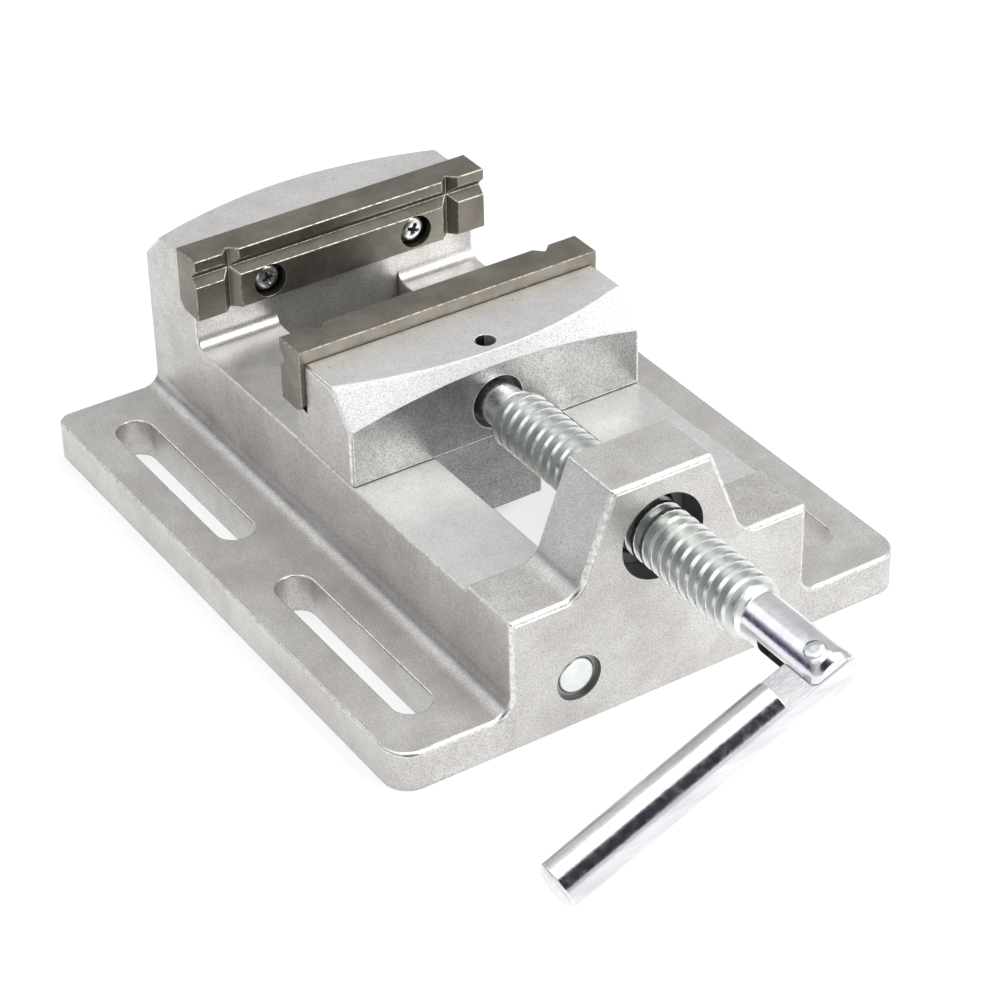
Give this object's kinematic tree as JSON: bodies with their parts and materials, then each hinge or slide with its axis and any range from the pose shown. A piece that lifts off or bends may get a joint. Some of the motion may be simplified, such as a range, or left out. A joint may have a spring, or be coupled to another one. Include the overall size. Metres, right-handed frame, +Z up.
{
  "type": "bench vise",
  "caption": "Low drill press vise: slotted base with a fixed prism jaw, a guided moving jaw, a trapezoidal spindle and a folding handle.",
  "frame": {"origin": "centre of the base's underside, which rests on the drill press table", "axes": "+Y along the spindle, from the handle towards the fixed jaw; +Z up; +X to the right as seen from the handle"},
  "size_m": [0.168, 0.2747, 0.0722],
  "materials": {
    "cast_aluminium": "fine as-cast grain, worn bright along its edges",
    "machined_aluminium": "milled",
    "ground_rod": "ground",
    "black_screw": "black oxide",
    "nut_steel": "turned, dull",
    "jaw_steel": "ground, brownish grey, worn bright along its edges",
    "zinc_screw": "zinc plated",
    "bush_bronze": "sintered bronze",
    "pad_steel": "hardened",
    "spindle_zinc": "rolled thread, zinc plated",
    "pin_steel": "bright, riveted flush",
    "handle_plated": "bright plated bar"
  },
  "bodies": {
    "base": {"base_casting": "cast_aluminium", "guide_rod_left": "ground_rod", "guide_rod_right": "ground_rod", "rod_grub_screws": "black_screw", "spindle_nut": "nut_steel", "nut_pin": "nut_steel", "fixed_jaw_plate": "jaw_steel", "fixed_jaw_screws": "zinc_screw"},
    "moving_jaw": {"moving_jaw_casting": "cast_aluminium", "moving_jaw_plate": "jaw_steel", "moving_jaw_screws": "zinc_screw", "guide_carriage": "machined_aluminium", "guide_bushes": "bush_bronze", "carriage_screws": "black_screw", "carriage_washers": "zinc_screw", "thrust_pad": "pad_steel", "spindle_grub_screw": "black_screw"},
    "spindle": {"spindle": "spindle_zinc", "handle_pin": "pin_steel"},
    "handle": {"handle_lever": "handle_plated"}
  },
  "joints": [
    {"name": "jaw_slide", "type": "slide", "parent": "base", "child": "moving_jaw", "axis": [0, 1, 0], "range_m": [-0.0501, 0.0494]},
    {"name": "spindle_turn", "type": "hinge", "parent": "moving_jaw", "child": "spindle", "pos_m": [0, -0.0201, 0.051], "axis": [0, 1, 0], "range_deg": [-4500, 4437]},
    {"name": "handle_fold", "type": "hinge", "parent": "spindle", "child": "handle", "pos_m": [0, -0.168, 0.051], "axis": [-0.3827, 0, 0.9239], "range_deg": [-5, 185]}
  ],
  "couplings": [
    {"joint": "jaw_slide", "follows": "spindle_turn", "m_per_rad": 0.00063662}
  ]
}
